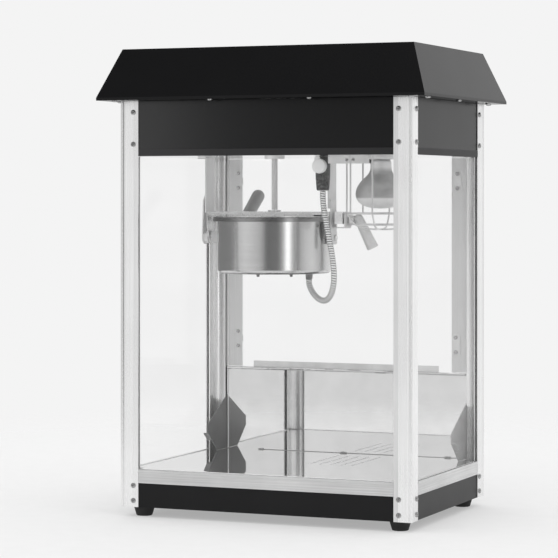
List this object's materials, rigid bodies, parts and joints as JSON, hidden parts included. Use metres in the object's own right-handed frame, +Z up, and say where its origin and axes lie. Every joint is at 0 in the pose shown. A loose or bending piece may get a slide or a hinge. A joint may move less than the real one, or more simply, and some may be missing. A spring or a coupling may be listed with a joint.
{
  "type": "popcorn machine",
  "caption": "Glazed counter-top popcorn machine with a pitched roof, tilting stirred kettle, warming lamp, rear doors and crumb drawer.",
  "frame": {"origin": "centre of the machine's footprint, on the surface that its rubber feet stand on", "axes": "+Z up; +X to the right as the customer sees it; +Y towards the operator, where the doors and switches are"},
  "size_m": [0.566, 0.419, 0.7632],
  "materials": {
    "black_enamel": "smooth semi-gloss black enamel on sheet steel",
    "brushed_aluminium": "satin extruded aluminium, fine lengthwise grain",
    "rubber_foot": "matt black rubber",
    "tempered_glass": "clear tempered glass, 4 mm",
    "acrylic_door": "clear acrylic sheet, 4 mm, polished edges",
    "mirror_steel": "mirror-polished stainless sheet",
    "stainless": "satin stainless sheet",
    "kettle_steel": "circumferentially brushed stainless",
    "chrome_rod": "bright plated rod and wire",
    "motor_steel": "zinc-plated gear motor",
    "nylon": "natural white nylon",
    "dark_grip": "dark grey heat-proof plastic, slightly grained",
    "grey_grip": "light grey plastic grip",
    "dark_plastic": "dark grey moulded plastic",
    "silver_knob": "satin aluminium knob",
    "flex_conduit": "interlocked stainless strip conduit",
    "bulb_glass": "frosted face and mirrored back of a reflector lamp (glass)",
    "switch_black": "glossy black rocker"
  },
  "bodies": {
    "cabinet": {"base_box": "black_enamel", "header_box": "black_enamel", "roof": "black_enamel", "post_front_left": "brushed_aluminium", "post_front_right": "brushed_aluminium", "post_rear_left": "brushed_aluminium", "post_rear_right": "brushed_aluminium", "rail_front": "brushed_aluminium", "rail_left": "brushed_aluminium", "rail_right": "brushed_aluminium", "door_jamb_left": "brushed_aluminium", "door_jamb_right": "brushed_aluminium", "lamp_bracket": "brushed_aluminium", "foot_front_left": "rubber_foot", "foot_front_right": "rubber_foot", "foot_rear_left": "rubber_foot", "foot_rear_right": "rubber_foot", "glass_front": "tempered_glass", "glass_left": "tempered_glass", "glass_right": "tempered_glass", "deck_plate": "mirror_steel", "back_panel": "mirror_steel", "door_stop_strip": "stainless", "corner_deflector_left": "stainless", "corner_deflector_right": "stainless", "hanger_left": "stainless", "hook_plate_left": "stainless", "hanger_right": "stainless", "latch_bracket": "stainless", "hinge_left_upper": "stainless", "hinge_left_lower": "stainless", "hinge_right_upper": "stainless", "hinge_right_lower": "stainless", "lamp_guard": "chrome_rod", "gear_motor": "motor_steel", "latch_bearing_block": "nylon", "heater_plug": "dark_plastic", "kettle_power_socket": "dark_plastic", "power_inlet_gland": "dark_plastic", "switch_bezel": "dark_plastic", "heater_conduit": "flex_conduit", "lamp_bulb": "bulb_glass"},
    "door_left": {"door_left": "acrylic_door"},
    "door_right": {"door_right": "acrylic_door"},
    "kettle": {"kettle_jacket": "kettle_steel", "kettle_pan": "kettle_steel", "heating_plate": "brushed_aluminium", "kettle_bridge": "stainless", "kettle_handle": "dark_grip"},
    "lid_front": {"lid_front": "kettle_steel"},
    "lid_rear": {"lid_rear": "kettle_steel"},
    "latch_lever": {"latch_lever": "grey_grip"},
    "shaft_carriage": {"shaft_carriage": "nylon"},
    "drive_shaft": {"drive_shaft": "chrome_rod"},
    "stirrer": {"stirrer": "chrome_rod"},
    "plug_knob": {"plug_knob": "silver_knob"},
    "crumb_drawer": {"crumb_drawer": "stainless"},
    "rocker_heat": {"rocker_heat": "switch_black"},
    "rocker_stirrer": {"rocker_stirrer": "switch_black"},
    "rocker_lamp": {"rocker_lamp": "switch_black"}
  },
  "joints": [
    {"name": "door_left_swing", "type": "hinge", "parent": "cabinet", "child": "door_left", "pos_m": [-0.199, 0.182, 0.409], "axis": [0, 0, 1], "range_deg": [0, 110]},
    {"name": "door_right_swing", "type": "hinge", "parent": "cabinet", "child": "door_right", "pos_m": [0.199, 0.182, 0.409], "axis": [0, 0, -1], "range_deg": [0, 110]},
    {"name": "kettle_tilt", "type": "hinge", "parent": "cabinet", "child": "kettle", "pos_m": [-0.062, 0, 0.454], "axis": [-1, 0, 0], "range_deg": [0, 100], "deforming": ["heater_conduit"]},
    {"name": "lid_front_lift", "type": "hinge", "parent": "kettle", "child": "lid_front", "pos_m": [-0.056, -0.0188, 0.4904], "axis": [-1, 0, 0], "range_deg": [0, 80]},
    {"name": "lid_rear_lift", "type": "hinge", "parent": "kettle", "child": "lid_rear", "pos_m": [-0.056, 0.0188, 0.4904], "axis": [1, 0, 0], "range_deg": [0, 80]},
    {"name": "latch_turn", "type": "hinge", "parent": "cabinet", "child": "latch_lever", "pos_m": [0.0955, 0, 0.483], "axis": [1, 0, 0], "range_deg": [0, 55]},
    {"name": "shaft_lift", "type": "slide", "parent": "cabinet", "child": "shaft_carriage", "axis": [0, 0, 1], "range_m": [0, 0.096]},
    {"name": "shaft_spin", "type": "hinge", "parent": "shaft_carriage", "child": "drive_shaft", "pos_m": [-0.056, 0, 0.616], "axis": [0, 0, 1], "continuous": true},
    {"name": "stirrer_spin", "type": "hinge", "parent": "kettle", "child": "stirrer", "pos_m": [-0.056, 0, 0.456], "axis": [0, 0, 1], "continuous": true},
    {"name": "plug_knob_turn", "type": "hinge", "parent": "cabinet", "child": "plug_knob", "pos_m": [0.0484, -0.06, 0.572], "axis": [0, -1, 0], "continuous": true},
    {"name": "drawer_slide", "type": "slide", "parent": "cabinet", "child": "crumb_drawer", "axis": [0, 1, 0], "range_m": [0, 0.16]},
    {"name": "rocker_heat_tilt", "type": "hinge", "parent": "cabinet", "child": "rocker_heat", "pos_m": [-0.147, 0.1782, 0.645], "axis": [1, 0, 0], "range_deg": [0, 16]},
    {"name": "rocker_stirrer_tilt", "type": "hinge", "parent": "cabinet", "child": "rocker_stirrer", "pos_m": [-0.12, 0.1782, 0.645], "axis": [1, 0, 0], "range_deg": [0, 16]},
    {"name": "rocker_lamp_tilt", "type": "hinge", "parent": "cabinet", "child": "rocker_lamp", "pos_m": [-0.093, 0.1782, 0.645], "axis": [1, 0, 0], "range_deg": [0, 16]}
  ],
  "couplings": [
    {"joint": "shaft_lift", "follows": "kettle_tilt", "m_per_rad": 0.05444},
    {"joint": "stirrer_spin", "follows": "shaft_spin", "ratio": 1}
  ]
}
